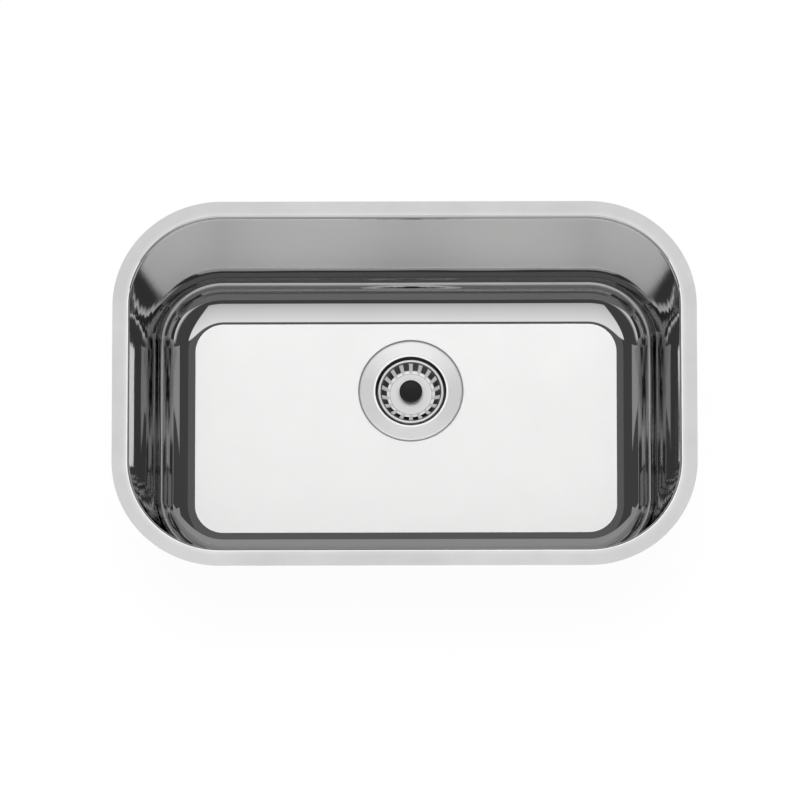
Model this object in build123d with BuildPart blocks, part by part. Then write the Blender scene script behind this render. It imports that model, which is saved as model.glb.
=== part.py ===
"""Undermount kitchen sink: one drawn steel bowl with a lift-out basket strainer in its drain.

Millimetres, +Z up. The origin is the middle of the bowl's mouth, on the top face of the flange.
+X runs to the right along the bowl and +Y to its back edge. The drain lies behind the middle.
"""
import os
from math import cos, pi, radians, sin

from build123d import *

os.makedirs("parts", exist_ok=True)

# Bowl, drawn from one sheet
BOWL_LENGTH = 560.0  # mouth along X, wall to wall
BOWL_WIDTH = 348.0  # mouth along Y, wall to wall
BOWL_DEPTH = 180.0  # flange top to the inside of the bottom
MOUTH_CORNER = 92.5  # corner radius of the mouth, in plan
FLANGE_WIDTH = 17.5  # wall to the outer edge
SHEET = 1.0
WALL_DRAFT = 9.5  # degrees from the vertical
MOUTH_BEND = 2.0  # tight side of the bend between flange and wall
BOTTOM_BEND = 39.0  # tight side of the bend between wall and bottom

# Drain place and recess
DRAIN_X = 5.0
DRAIN_SETBACK = 134.0  # back of the mouth to the drain's axis
RECESS_DEPTH = 3.2
RECESS_BEND = 0.6
RECESS_GAP = 0.7  # round the drain flange
SEAT_GAP = 4.2  # hole in the recess to the strainer cup

# Strainer cup
CUP_FLANGE_RADIUS = 53.0
CUP_SHEET = 1.2
CUP_BORE = 36.6
CUP_DEPTH = 30.0  # bottom of the bowl to the floor of the cup
CUP_SINK = 0.5  # bottom of the bowl to the edge of the drain flange
CUP_DISH = 1.4  # fall of the drain flange toward the cup
CUP_EDGE_BEND = 1.8
CUP_MOUTH_BEND = 2.6
CUP_FLOOR_BEND = 4.0
LIP_GAP = 0.3  # turned-down edge to the recess
OUTLET_RADIUS = 17.5
SEAL_GAP = 0.5  # hole in the recess to the seal
SEAL_WIDTH = 6.5

# Clamp under the bowl
RING_GAP = 0.5  # rings and nut to the strainer cup
GASKET_THICKNESS = 3.0
GASKET_RADIUS = 52.5
SLIP_THICKNESS = 1.2
SLIP_RADIUS = 51.5
NUT_HEIGHT = 14.0
NUT_WALL = 7.5
NUT_FOOT = 5.0  # the foot's reach beyond the ring
NUT_FOOT_HEIGHT = 3.5
LUG_COUNT = 8
LUG_WIDTH = 11.0
LUG_REACH = 5.0
LUG_CORNER = 1.5

# Outlet neck and the guide for the basket post
NECK_BORE = 19.6
NECK_RADIUS = 23.9
NECK_LENGTH = 27.0
NECK_LEDGE = 1.8  # step that carries the guide
NECK_FLANGE = 5.0  # reach of the flange beyond the neck
NECK_FLANGE_HEIGHT = 2.0
GUIDE_GAP = 0.4
GUIDE_DROP = 12.5  # underside of the cup to the top of the guide
GUIDE_RING = 2.0
GUIDE_HEIGHT = 4.0
GUIDE_ARMS = 3
GUIDE_ARM_WIDTH = 3.0
HUB_WALL = 3.0
HUB_HEIGHT = 9.0

# Tailpiece and its nut
TAIL_RADIUS = 19.05
TAIL_WALL = 1.2
TAIL_LENGTH = 76.0
TAIL_FLANGE = 3.8  # reach of the flange beyond the tube
TAIL_FLANGE_HEIGHT = 1.5
TAIL_EDGE = 0.4
TAIL_WASHER = 2.0
TAIL_WASHER_WIDTH = 4.2
COUPLING_GAP = 0.5  # nut to the neck
COUPLING_WALL = 4.4
COUPLING_PLAY = 1.0  # floor of the nut to the tube
COUPLING_GRIP = 14.0  # overlap with the neck
COUPLING_FLOOR = 4.0
COUPLING_EDGE = 1.2
RIB_COUNT = 12
RIB_WIDTH = 4.0
RIB_REACH = 2.2
RIB_CORNER = 0.8

# Lift-out basket
BASKET_SHEET = 0.8
BASKET_DROP = 15.0  # bottom of the bowl to the basket's floor
BASKET_FLOOR_RADIUS = 22.9
BASKET_RIM_RADIUS = 31.2  # inside, level with the bead
BASKET_BEND = 3.0
BEAD = 1.35  # radius of the rolled rim
BEAD_DROP = 3.0  # bottom of the bowl to the top of the bead
BEAD_SHIFT = 1.25  # inside of the wall to the middle of the bead
SLOT_COUNT = 18
SLOT_SHARE = 0.62  # open part of the slot pitch
SLOT_FOOT = 1.8  # basket's floor to the foot of a slot
SLOT_HEAD = 0.9  # middle of the bead to the head of a slot

# Knob, post and stopper
KNOB_RADIUS = 11.8
KNOB_STEM = 7.5
KNOB_WAIST = 6.6
KNOB_DROP = 1.5  # bottom of the bowl to the knob's rim
KNOB_HEAD = 4.6
KNOB_LIP = 2.2  # width of the rim round the dished top
KNOB_DISH = 0.9
KNOB_ROUND = 1.0
KNOB_ROOF = 5.0  # knob's rim to the end of its blind hole
POST_RADIUS = 4.0
POST_GAP = 0.15  # pieces threaded on the post
POST_LENGTH = 54.0
POST_EDGE = 0.8
SPACER_RADIUS = 7.0
STOPPER_RADIUS = 23.0
STOPPER_CROWN = 19.0
STOPPER_HEIGHT = 6.0
STOPPER_EDGE = 2.5
STOPPER_ROUND = 0.8
BOSS_RADIUS = 13.5
BOSS_DROP = 2.0  # reach of the stopper's boss into the outlet
WASHER_RADIUS = 8.5
WASHER_THICKNESS = 1.2
LOCK_FLATS = 13.0
LOCK_HEIGHT = 5.0
GUIDE_PLAY = 1.3  # post to the bore of its guide
GRIP_CORD = 2.4  # thickness of the grip ring
GRIP_RISE = 3.4  # foot of the post to the grip ring
GRIP_GAP = 0.3  # grip ring to the bore of the guide
GROOVE_GAP = 0.2  # grip ring to its groove

# Damping pads
PAD_LENGTH = 125.0
PAD_WIDTH = 168.0
PAD_THICKNESS = 2.5
PAD_CORNER = 12.0
PAD_EDGE = 0.8
PAD_SETBACK = 134.0  # end of the mouth to the middle of a pad

# Levels
BOTTOM = -BOWL_DEPTH
BOTTOM_UNDER = BOTTOM - SHEET
RECESS = BOTTOM - RECESS_DEPTH
RECESS_UNDER = RECESS - SHEET
GASKET_UNDER = RECESS_UNDER - GASKET_THICKNESS
SLIP_UNDER = GASKET_UNDER - SLIP_THICKNESS
NUT_UNDER = SLIP_UNDER - NUT_HEIGHT
CUP_TOP = BOTTOM - CUP_SINK
CUP_FLOOR = BOTTOM - CUP_DEPTH
CUP_UNDER = CUP_FLOOR - CUP_SHEET
NECK_UNDER = CUP_UNDER - NECK_LENGTH
GUIDE_TOP = CUP_UNDER - GUIDE_DROP
GUIDE_UNDER = GUIDE_TOP - GUIDE_HEIGHT
TAIL_TOP = NECK_UNDER - TAIL_WASHER
TAIL_SEAT = TAIL_TOP - TAIL_FLANGE_HEIGHT
TAIL_UNDER = TAIL_TOP - TAIL_LENGTH
COUPLING_TOP = NECK_UNDER + COUPLING_GRIP
COUPLING_UNDER = TAIL_SEAT - COUPLING_FLOOR
BASKET_FLOOR = BOTTOM - BASKET_DROP
BASKET_UNDER = BASKET_FLOOR - BASKET_SHEET
BEAD_LEVEL = BOTTOM - BEAD_DROP - BEAD
SLOT_UNDER = BASKET_FLOOR + SLOT_FOOT
SLOT_TOP = BEAD_LEVEL - SLOT_HEAD
KNOB_TOP = BOTTOM - KNOB_DROP
POST_TOP = KNOB_TOP - KNOB_ROOF
POST_UNDER = POST_TOP - POST_LENGTH
GRIP_LEVEL = POST_UNDER + GRIP_RISE
STOPPER_TOP = CUP_FLOOR + STOPPER_HEIGHT
BOSS_UNDER = CUP_FLOOR - BOSS_DROP
WASHER_UNDER = BOSS_UNDER - WASHER_THICKNESS

# Places, radii and slopes shared by mating pieces
SKIN = SHEET / cos(radians(WALL_DRAFT))  # sheet measured level across the drafted wall
DRAIN_Y = BOWL_WIDTH / 2 - DRAIN_SETBACK
PAD_CENTRE = BOWL_LENGTH / 2 - PAD_SETBACK
RECESS_RADIUS = CUP_FLANGE_RADIUS + RECESS_GAP
CUP_RADIUS = CUP_BORE + CUP_SHEET
DRAIN_HOLE = CUP_RADIUS + SEAT_GAP
DISH_SLOPE = CUP_DISH / (CUP_FLANGE_RADIUS - CUP_BORE)
RING_BORE = CUP_RADIUS + RING_GAP
NUT_RADIUS = RING_BORE + NUT_WALL
COUPLING_BORE = NECK_RADIUS + COUPLING_GAP
COUPLING_RADIUS = COUPLING_BORE + COUPLING_WALL
GUIDE_RADIUS = NECK_BORE - GUIDE_GAP
GUIDE_BORE = POST_RADIUS + GUIDE_PLAY
HUB_RADIUS = GUIDE_BORE + HUB_WALL
POST_HOLE = POST_RADIUS + POST_GAP
GRIP_RADIUS = GUIDE_BORE - GRIP_GAP - GRIP_CORD / 2
GROOVE_RADIUS = GRIP_RADIUS - GRIP_CORD / 2 - GROOVE_GAP
GROOVE_HALF = GRIP_CORD / 2 + GROOVE_GAP
BASKET_SLOPE = (BASKET_RIM_RADIUS - BASKET_FLOOR_RADIUS) / (BEAD_LEVEL - BASKET_FLOOR)
SLOT_REACH = BASKET_RIM_RADIUS - BASKET_SLOPE * SLOT_HEAD + BASKET_SHEET
SLOT_HALF = SLOT_SHARE * pi / SLOT_COUNT

NEAR = 0.01  # tolerance for picking edges by level and radius
DRAIN_AXIS = Axis((DRAIN_X, DRAIN_Y, 0), (0, 0, 1))
# Section through the drain's axis: x is the radius and y the level
DRAIN_SECTION = Plane((DRAIN_X, DRAIN_Y, 0), x_dir=(1, 0, 0), z_dir=(0, -1, 0))


def drain_plane(level):
    """Level plane centred on the drain's axis."""
    return Plane((DRAIN_X, DRAIN_Y, level))


def dish(radius):
    """Level of the drain flange's top face at a radius."""
    return CUP_TOP - DISH_SLOPE * (CUP_FLANGE_RADIUS - radius)


def edges_at(piece, level):
    """Edges that lie flat at one level."""
    return piece.edges().filter_by_position(Axis.Z, level - NEAR, level + NEAR)


def circles_at(piece, level, radius):
    """Round edges of one radius at one level."""
    round_edges = edges_at(piece, level).filter_by(GeomType.CIRCLE)
    return round_edges.filter_by(lambda edge: abs(edge.radius - radius) < NEAR)


def corners_between(section, inner, outer):
    """Corners of a section that lie between two radii."""
    return section.vertices().filter_by_position(Axis.X, inner - NEAR, outer + NEAR)


def mouth_edges(piece, level):
    """Inner edges of the level flange face at one level."""
    flange_face = piece.faces().filter_by_position(Axis.Z, level - NEAR, level + NEAR)[0]
    return flange_face.inner_wires()[0].edges()


# Bowl: a flange blank and a tapered draw, hollowed by the same draw one sheet smaller
with BuildPart() as bowl:
    with BuildSketch(Plane.XY.offset(-SHEET)):
        RectangleRounded(
            BOWL_LENGTH + 2 * FLANGE_WIDTH,
            BOWL_WIDTH + 2 * FLANGE_WIDTH,
            MOUTH_CORNER + FLANGE_WIDTH,
        )
    extrude(amount=SHEET)
    with BuildSketch(Plane.XY):
        RectangleRounded(BOWL_LENGTH + 2 * SKIN, BOWL_WIDTH + 2 * SKIN, MOUTH_CORNER + SKIN)
    extrude(amount=-(BOWL_DEPTH + SHEET), taper=WALL_DRAFT)
    with BuildSketch(Plane.XY):
        RectangleRounded(BOWL_LENGTH, BOWL_WIDTH, MOUTH_CORNER)
    extrude(amount=-BOWL_DEPTH, taper=WALL_DRAFT, mode=Mode.SUBTRACT)
    fillet(edges_at(bowl, BOTTOM), BOTTOM_BEND)
    fillet(edges_at(bowl, BOTTOM_UNDER), BOTTOM_BEND + SHEET)
    fillet(mouth_edges(bowl, 0), MOUTH_BEND + SHEET)
    fillet(mouth_edges(bowl, -SHEET), MOUTH_BEND)

    # Round recess for the drain flange, pressed one sheet thick
    with BuildSketch(drain_plane(BOTTOM_UNDER)):
        Circle(RECESS_RADIUS + SHEET)
    extrude(amount=-RECESS_DEPTH)
    with BuildSketch(drain_plane(BOTTOM)):
        Circle(RECESS_RADIUS)
    extrude(amount=-RECESS_DEPTH, mode=Mode.SUBTRACT)
    fillet(circles_at(bowl, RECESS, RECESS_RADIUS), RECESS_BEND)
    fillet(circles_at(bowl, RECESS_UNDER, RECESS_RADIUS + SHEET), RECESS_BEND + SHEET)
    fillet(circles_at(bowl, BOTTOM, RECESS_RADIUS), RECESS_BEND + SHEET)
    fillet(circles_at(bowl, BOTTOM_UNDER, RECESS_RADIUS + SHEET), RECESS_BEND)
    with BuildSketch(drain_plane(RECESS)):
        Circle(DRAIN_HOLE)
    extrude(amount=-SHEET, mode=Mode.SUBTRACT)
bowl.part.label = "bowl"
export_step(bowl.part, "parts/bowl.step")

# Damping pads stuck under the bottom, left and right of the drain
with BuildPart() as sound_pad_left:
    with BuildSketch(Plane((-PAD_CENTRE, 0, BOTTOM_UNDER))):
        RectangleRounded(PAD_LENGTH, PAD_WIDTH, PAD_CORNER)
    extrude(amount=-PAD_THICKNESS)
    chamfer(edges_at(sound_pad_left, BOTTOM_UNDER - PAD_THICKNESS), PAD_EDGE)
sound_pad_left.part.label = "sound_pad_left"
export_step(sound_pad_left.part, "parts/sound_pad_left.step")

with BuildPart() as sound_pad_right:
    with BuildSketch(Plane((PAD_CENTRE, 0, BOTTOM_UNDER))):
        RectangleRounded(PAD_LENGTH, PAD_WIDTH, PAD_CORNER)
    extrude(amount=-PAD_THICKNESS)
    chamfer(edges_at(sound_pad_right, BOTTOM_UNDER - PAD_THICKNESS), PAD_EDGE)
sound_pad_right.part.label = "sound_pad_right"
export_step(sound_pad_right.part, "parts/sound_pad_right.step")

# Strainer cup: the show side of one bent sheet, thickened outward and down
with BuildPart() as strainer_cup:
    with BuildSketch(DRAIN_SECTION):
        with BuildLine():
            FilletPolyline(
                (CUP_FLANGE_RADIUS, RECESS + LIP_GAP),
                (CUP_FLANGE_RADIUS, CUP_TOP),
                (CUP_BORE, dish(CUP_BORE)),
                (CUP_BORE, CUP_FLOOR),
                (OUTLET_RADIUS, CUP_FLOOR),
                radius=(CUP_EDGE_BEND, CUP_MOUTH_BEND, CUP_FLOOR_BEND),
            )
            offset(amount=CUP_SHEET, side=Side.LEFT)
        make_face()
    revolve(axis=DRAIN_AXIS)
strainer_cup.part.label = "strainer_cup"
export_step(strainer_cup.part, "parts/strainer_cup.step")

# Soft seal that fills the wedge between the recess and the underside of the drain flange
with BuildPart() as flange_seal:
    seal_bore = DRAIN_HOLE + SEAL_GAP
    seal_radius = seal_bore + SEAL_WIDTH
    flange_skin = CUP_SHEET * (1 + DISH_SLOPE**2) ** 0.5
    with BuildSketch(DRAIN_SECTION):
        with BuildLine():
            Polyline(
                (seal_bore, RECESS),
                (seal_radius, RECESS),
                (seal_radius, dish(seal_radius) - flange_skin),
                (seal_bore, dish(seal_bore) - flange_skin),
                close=True,
            )
        make_face()
    revolve(axis=DRAIN_AXIS)
flange_seal.part.label = "flange_seal"
export_step(flange_seal.part, "parts/flange_seal.step")

# Clamp rings under the recess
with BuildPart() as bowl_gasket:
    with BuildSketch(drain_plane(RECESS_UNDER)):
        Circle(GASKET_RADIUS)
        Circle(RING_BORE, mode=Mode.SUBTRACT)
    extrude(amount=-GASKET_THICKNESS)
bowl_gasket.part.label = "bowl_gasket"
export_step(bowl_gasket.part, "parts/bowl_gasket.step")

with BuildPart() as friction_washer:
    with BuildSketch(drain_plane(GASKET_UNDER)):
        Circle(SLIP_RADIUS)
        Circle(RING_BORE, mode=Mode.SUBTRACT)
    extrude(amount=-SLIP_THICKNESS)
friction_washer.part.label = "friction_washer"
export_step(friction_washer.part, "parts/friction_washer.step")

# Lock nut: a ring on a wide foot, with lugs to drive it round
with BuildPart() as lock_nut:
    with BuildSketch(drain_plane(SLIP_UNDER)):
        Circle(NUT_RADIUS + NUT_FOOT)
    extrude(amount=-NUT_FOOT_HEIGHT)
    with BuildSketch(drain_plane(SLIP_UNDER)):
        Circle(NUT_RADIUS)
    extrude(amount=-NUT_HEIGHT)
    with BuildSketch(drain_plane(NUT_UNDER)):
        with PolarLocations(NUT_RADIUS, LUG_COUNT):
            RectangleRounded(2 * LUG_REACH, LUG_WIDTH, LUG_CORNER)
    extrude(amount=NUT_HEIGHT)
    with BuildSketch(drain_plane(SLIP_UNDER)):
        Circle(RING_BORE)
    extrude(amount=-NUT_HEIGHT, mode=Mode.SUBTRACT)
lock_nut.part.label = "lock_nut"
export_step(lock_nut.part, "parts/lock_nut.step")

# Outlet neck brazed under the cup, with a ledge inside for the guide
with BuildPart() as outlet_neck:
    with BuildSketch(DRAIN_SECTION):
        with BuildLine():
            Polyline(
                (NECK_BORE, CUP_UNDER),
                (NECK_RADIUS + NECK_FLANGE, CUP_UNDER),
                (NECK_RADIUS + NECK_FLANGE, CUP_UNDER - NECK_FLANGE_HEIGHT),
                (NECK_RADIUS, CUP_UNDER - NECK_FLANGE_HEIGHT),
                (NECK_RADIUS, NECK_UNDER),
                (NECK_BORE - NECK_LEDGE, NECK_UNDER),
                (NECK_BORE - NECK_LEDGE, GUIDE_UNDER),
                (NECK_BORE, GUIDE_UNDER),
                close=True,
            )
        make_face()
    revolve(axis=DRAIN_AXIS)
outlet_neck.part.label = "outlet_neck"
export_step(outlet_neck.part, "parts/outlet_neck.step")

# Guide for the basket post: a hub carried by arms in a ring
with BuildPart() as spider:
    with BuildSketch(drain_plane(GUIDE_TOP)):
        Circle(GUIDE_RADIUS)
        Circle(GUIDE_RADIUS - GUIDE_RING, mode=Mode.SUBTRACT)
        arm_reach = GUIDE_RADIUS - GUIDE_RING / 2
        with PolarLocations(arm_reach / 2, GUIDE_ARMS):
            Rectangle(arm_reach, GUIDE_ARM_WIDTH)
    extrude(amount=-GUIDE_HEIGHT)
    with BuildSketch(drain_plane(GUIDE_TOP)):
        Circle(HUB_RADIUS)
    extrude(amount=-HUB_HEIGHT)
    with BuildSketch(drain_plane(GUIDE_TOP)):
        Circle(GUIDE_BORE)
    extrude(amount=-HUB_HEIGHT, mode=Mode.SUBTRACT)
spider.part.label = "spider"
export_step(spider.part, "parts/spider.step")

# Tailpiece with the flat washer that seals it to the neck
with BuildPart() as tail_washer:
    with BuildSketch(drain_plane(NECK_UNDER)):
        Circle(TAIL_RADIUS + TAIL_FLANGE)
        Circle(TAIL_RADIUS + TAIL_FLANGE - TAIL_WASHER_WIDTH, mode=Mode.SUBTRACT)
    extrude(amount=-TAIL_WASHER)
tail_washer.part.label = "tail_washer"
export_step(tail_washer.part, "parts/tail_washer.step")

with BuildPart() as tailpiece:
    with BuildSketch(drain_plane(TAIL_TOP)):
        Circle(TAIL_RADIUS + TAIL_FLANGE)
    extrude(amount=-TAIL_FLANGE_HEIGHT)
    with BuildSketch(drain_plane(TAIL_TOP)):
        Circle(TAIL_RADIUS)
    extrude(amount=-TAIL_LENGTH)
    with BuildSketch(drain_plane(TAIL_TOP)):
        Circle(TAIL_RADIUS - TAIL_WALL)
    extrude(amount=-TAIL_LENGTH, mode=Mode.SUBTRACT)
    chamfer(circles_at(tailpiece, TAIL_UNDER, TAIL_RADIUS), TAIL_EDGE)
tailpiece.part.label = "tailpiece"
export_step(tailpiece.part, "parts/tailpiece.step")

# Coupling nut: a ribbed cap with an open floor under the tailpiece's flange
with BuildPart() as coupling_nut:
    coupling_height = COUPLING_TOP - COUPLING_UNDER
    with BuildSketch(drain_plane(COUPLING_UNDER)):
        Circle(COUPLING_RADIUS)
    extrude(amount=coupling_height)
    chamfer(coupling_nut.edges(), COUPLING_EDGE)
    with BuildSketch(drain_plane(COUPLING_UNDER + COUPLING_EDGE)):
        with PolarLocations(COUPLING_RADIUS, RIB_COUNT):
            RectangleRounded(2 * RIB_REACH, RIB_WIDTH, RIB_CORNER)
    extrude(amount=coupling_height - 2 * COUPLING_EDGE)
    with BuildSketch(drain_plane(TAIL_SEAT)):
        Circle(COUPLING_BORE)
    extrude(amount=COUPLING_TOP - TAIL_SEAT, mode=Mode.SUBTRACT)
    with BuildSketch(drain_plane(COUPLING_UNDER)):
        Circle(TAIL_RADIUS + COUPLING_PLAY)
    extrude(amount=COUPLING_FLOOR, mode=Mode.SUBTRACT)
coupling_nut.part.label = "coupling_nut"
export_step(coupling_nut.part, "parts/coupling_nut.step")

# Basket: a bent sheet with a rolled rim, slotted round its sloping wall
with BuildPart() as basket:
    with BuildSketch(DRAIN_SECTION):
        with BuildLine():
            FilletPolyline(
                (BASKET_RIM_RADIUS, BEAD_LEVEL),
                (BASKET_FLOOR_RADIUS, BASKET_FLOOR),
                (POST_HOLE, BASKET_FLOOR),
                radius=(BASKET_BEND,),
            )
            offset(amount=BASKET_SHEET, side=Side.LEFT)
        make_face()
        with Locations((BASKET_RIM_RADIUS + BEAD_SHIFT, BEAD_LEVEL)):
            Circle(BEAD)
    revolve(axis=DRAIN_AXIS)
    with BuildSketch(drain_plane(SLOT_UNDER)):
        with PolarLocations(0, SLOT_COUNT):
            Polygon(
                (BASKET_FLOOR_RADIUS * cos(SLOT_HALF), BASKET_FLOOR_RADIUS * sin(SLOT_HALF)),
                (BASKET_FLOOR_RADIUS * cos(SLOT_HALF), -BASKET_FLOOR_RADIUS * sin(SLOT_HALF)),
                (SLOT_REACH * cos(SLOT_HALF), -SLOT_REACH * sin(SLOT_HALF)),
                (SLOT_REACH * cos(SLOT_HALF), SLOT_REACH * sin(SLOT_HALF)),
                align=None,
            )
    extrude(amount=SLOT_TOP - SLOT_UNDER, mode=Mode.SUBTRACT)
basket.part.label = "basket"
export_step(basket.part, "parts/basket.step")

# Knob: a waisted stem under a wide head with a shallow dished top
with BuildPart() as knob:
    with BuildSketch(DRAIN_SECTION) as knob_section:
        with BuildLine():
            Polyline(
                (0, KNOB_TOP - KNOB_DISH),
                (0, POST_TOP),
                (POST_HOLE, POST_TOP),
                (POST_HOLE, BASKET_FLOOR),
                (KNOB_STEM, BASKET_FLOOR),
                (KNOB_WAIST, KNOB_TOP - KNOB_HEAD - KNOB_ROUND),
                (KNOB_RADIUS, KNOB_TOP - KNOB_HEAD),
                (KNOB_RADIUS, KNOB_TOP),
                (KNOB_RADIUS - KNOB_LIP, KNOB_TOP),
            )
            TangentArc(
                (0, KNOB_TOP - KNOB_DISH),
                (KNOB_RADIUS - KNOB_LIP, KNOB_TOP),
                tangent=(1, 0),
            )
        make_face()
        fillet(corners_between(knob_section, KNOB_RADIUS, KNOB_RADIUS), KNOB_ROUND)
    revolve(axis=DRAIN_AXIS)
knob.part.label = "knob"
export_step(knob.part, "parts/knob.step")

# Post with a groove for the grip ring near its foot
with BuildPart() as post:
    with BuildSketch(DRAIN_SECTION):
        with BuildLine():
            Polyline(
                (0, POST_TOP),
                (POST_RADIUS, POST_TOP),
                (POST_RADIUS, GRIP_LEVEL + GROOVE_HALF),
                (GROOVE_RADIUS, GRIP_LEVEL + GROOVE_HALF),
                (GROOVE_RADIUS, GRIP_LEVEL - GROOVE_HALF),
                (POST_RADIUS, GRIP_LEVEL - GROOVE_HALF),
                (POST_RADIUS, POST_UNDER + POST_EDGE),
                (POST_RADIUS - POST_EDGE, POST_UNDER),
                (0, POST_UNDER),
                close=True,
            )
        make_face()
    revolve(axis=DRAIN_AXIS)
post.part.label = "post"
export_step(post.part, "parts/post.step")

with BuildPart() as post_o_ring:
    with BuildSketch(DRAIN_SECTION):
        with Locations((GRIP_RADIUS, GRIP_LEVEL)):
            Circle(GRIP_CORD / 2)
    revolve(axis=DRAIN_AXIS)
post_o_ring.part.label = "post_o_ring"
export_step(post_o_ring.part, "parts/post_o_ring.step")

# Spacer between the basket's floor and the stopper
with BuildPart() as spacer:
    with BuildSketch(drain_plane(BASKET_UNDER)):
        Circle(SPACER_RADIUS)
        Circle(POST_HOLE, mode=Mode.SUBTRACT)
    extrude(amount=STOPPER_TOP - BASKET_UNDER)
spacer.part.label = "spacer"
export_step(spacer.part, "parts/spacer.step")

# Stopper: a domed rubber disc whose flat face closes the outlet, with a boss that centres it
with BuildPart() as stopper:
    with BuildSketch(DRAIN_SECTION) as stopper_section:
        with BuildLine():
            Polyline(
                (POST_HOLE, STOPPER_TOP),
                (STOPPER_CROWN, STOPPER_TOP),
                (STOPPER_RADIUS, CUP_FLOOR + STOPPER_EDGE),
                (STOPPER_RADIUS, CUP_FLOOR),
                (BOSS_RADIUS, CUP_FLOOR),
                (BOSS_RADIUS, BOSS_UNDER),
                (POST_HOLE, BOSS_UNDER),
                close=True,
            )
        make_face()
        fillet(corners_between(stopper_section, STOPPER_CROWN, STOPPER_RADIUS), STOPPER_ROUND)
    revolve(axis=DRAIN_AXIS)
stopper.part.label = "stopper"
export_step(stopper.part, "parts/stopper.step")

with BuildPart() as stopper_washer:
    with BuildSketch(drain_plane(BOSS_UNDER)):
        Circle(WASHER_RADIUS)
        Circle(POST_HOLE, mode=Mode.SUBTRACT)
    extrude(amount=-WASHER_THICKNESS)
stopper_washer.part.label = "stopper_washer"
export_step(stopper_washer.part, "parts/stopper_washer.step")

with BuildPart() as stopper_nut:
    with BuildSketch(drain_plane(WASHER_UNDER)):
        RegularPolygon(LOCK_FLATS / 2, side_count=6, major_radius=False)
        Circle(POST_HOLE, mode=Mode.SUBTRACT)
    extrude(amount=-LOCK_HEIGHT)
stopper_nut.part.label = "stopper_nut"
export_step(stopper_nut.part, "parts/stopper_nut.step")
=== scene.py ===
# %% [markdown]
# # A stainless steel kitchen sink
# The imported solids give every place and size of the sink. This lesson puts the show surfaces over them:
# clean sheet metal with even bends, the finishes of each piece, and a plain studio to see them in.
# Everything is in metres, in the frame of the solids: +X to the right, +Y to the back, +Z up.

from math import atan2, cos, hypot, pi, radians, sin, sqrt, tan

import bmesh
import bpy
from mathutils import Matrix, Vector


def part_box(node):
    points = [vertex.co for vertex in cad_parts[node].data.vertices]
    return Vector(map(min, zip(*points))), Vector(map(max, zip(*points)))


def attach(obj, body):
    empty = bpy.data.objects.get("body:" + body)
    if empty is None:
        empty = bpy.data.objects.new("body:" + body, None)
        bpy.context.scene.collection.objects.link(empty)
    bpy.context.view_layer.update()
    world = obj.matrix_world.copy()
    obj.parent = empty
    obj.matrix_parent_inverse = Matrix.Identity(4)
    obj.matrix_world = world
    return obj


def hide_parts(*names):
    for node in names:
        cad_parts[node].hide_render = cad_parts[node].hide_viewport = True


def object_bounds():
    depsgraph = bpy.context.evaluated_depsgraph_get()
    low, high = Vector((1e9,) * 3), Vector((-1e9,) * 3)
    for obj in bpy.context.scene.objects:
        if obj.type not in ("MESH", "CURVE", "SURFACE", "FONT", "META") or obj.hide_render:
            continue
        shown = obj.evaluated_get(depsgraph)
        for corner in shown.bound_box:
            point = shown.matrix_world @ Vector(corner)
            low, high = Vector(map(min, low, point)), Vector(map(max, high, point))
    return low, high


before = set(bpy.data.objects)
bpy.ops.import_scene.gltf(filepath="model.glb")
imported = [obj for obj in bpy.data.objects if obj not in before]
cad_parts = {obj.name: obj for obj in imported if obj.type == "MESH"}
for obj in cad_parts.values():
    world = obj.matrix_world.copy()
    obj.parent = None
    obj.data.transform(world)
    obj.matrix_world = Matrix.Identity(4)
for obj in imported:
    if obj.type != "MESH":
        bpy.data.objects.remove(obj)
cad_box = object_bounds()
MM = 0.001
print("CAD box:", [[round(value, 4) for value in corner] for corner in cad_box])

# %% [markdown]
# ## The camera
# The sink is seen from high up in front. Its sides run parallel in the picture, which only a far camera
# gives, so a long lens is used fourteen metres away. The picture's upright follows the sink's own Y axis.

# %% Camera
VIEW_TILT = radians(15.0)  # off the vertical, toward the front
VIEW_ASIDE = 0.0084  # share of the distance that the camera stands to the right
VIEW_DISTANCE = 14.0
VIEW_END = 100.0  # how far the camera sees
VIEW_LENS = 620.0
VIEW_AIM = Vector((-4.6, -18.25, 0.0)) * MM

back_to_camera = Vector((VIEW_ASIDE, -sin(VIEW_TILT), cos(VIEW_TILT))).normalized()
picture_right = Vector((0.0, 1.0, 0.0)).cross(back_to_camera).normalized()
picture_up = back_to_camera.cross(picture_right)
turned = Matrix((picture_right, picture_up, back_to_camera)).transposed().to_4x4()

bpy.ops.object.camera_add()
camera = bpy.context.active_object
camera.name = "camera"
camera.data.lens = VIEW_LENS
camera.data.clip_end = VIEW_END
camera.matrix_world = Matrix.Translation(VIEW_AIM + VIEW_DISTANCE * back_to_camera) @ turned
bpy.context.scene.camera = camera
bpy.context.scene.view_settings.view_transform = "Standard"
print("Camera at", [round(value, 3) for value in camera.matrix_world.translation])

# %% [markdown]
# ## Working by hand, in code
# Each piece starts as a small square and is shaped in edit mode. Loading leaves the solids selected, so
# everything is deselected first. Faces and edges are then picked by their place, as a hand would do.

# %% A start and a picker
TINY = 1e-5  # places closer than this are at one level
SAME_PLACE = TINY / 10  # points closer than this are one point
ROUND = 0.5  # profile of a bevel that makes a true arc


def start(name):
    """A new square of side one, alone in edit mode."""
    bpy.ops.object.select_all(action="DESELECT")
    bpy.ops.mesh.primitive_plane_add(size=1.0)
    piece = bpy.context.active_object
    piece.name = piece.data.name = name
    bpy.ops.object.mode_set(mode="EDIT")
    bpy.ops.mesh.select_mode(type="VERT")
    return piece


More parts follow.
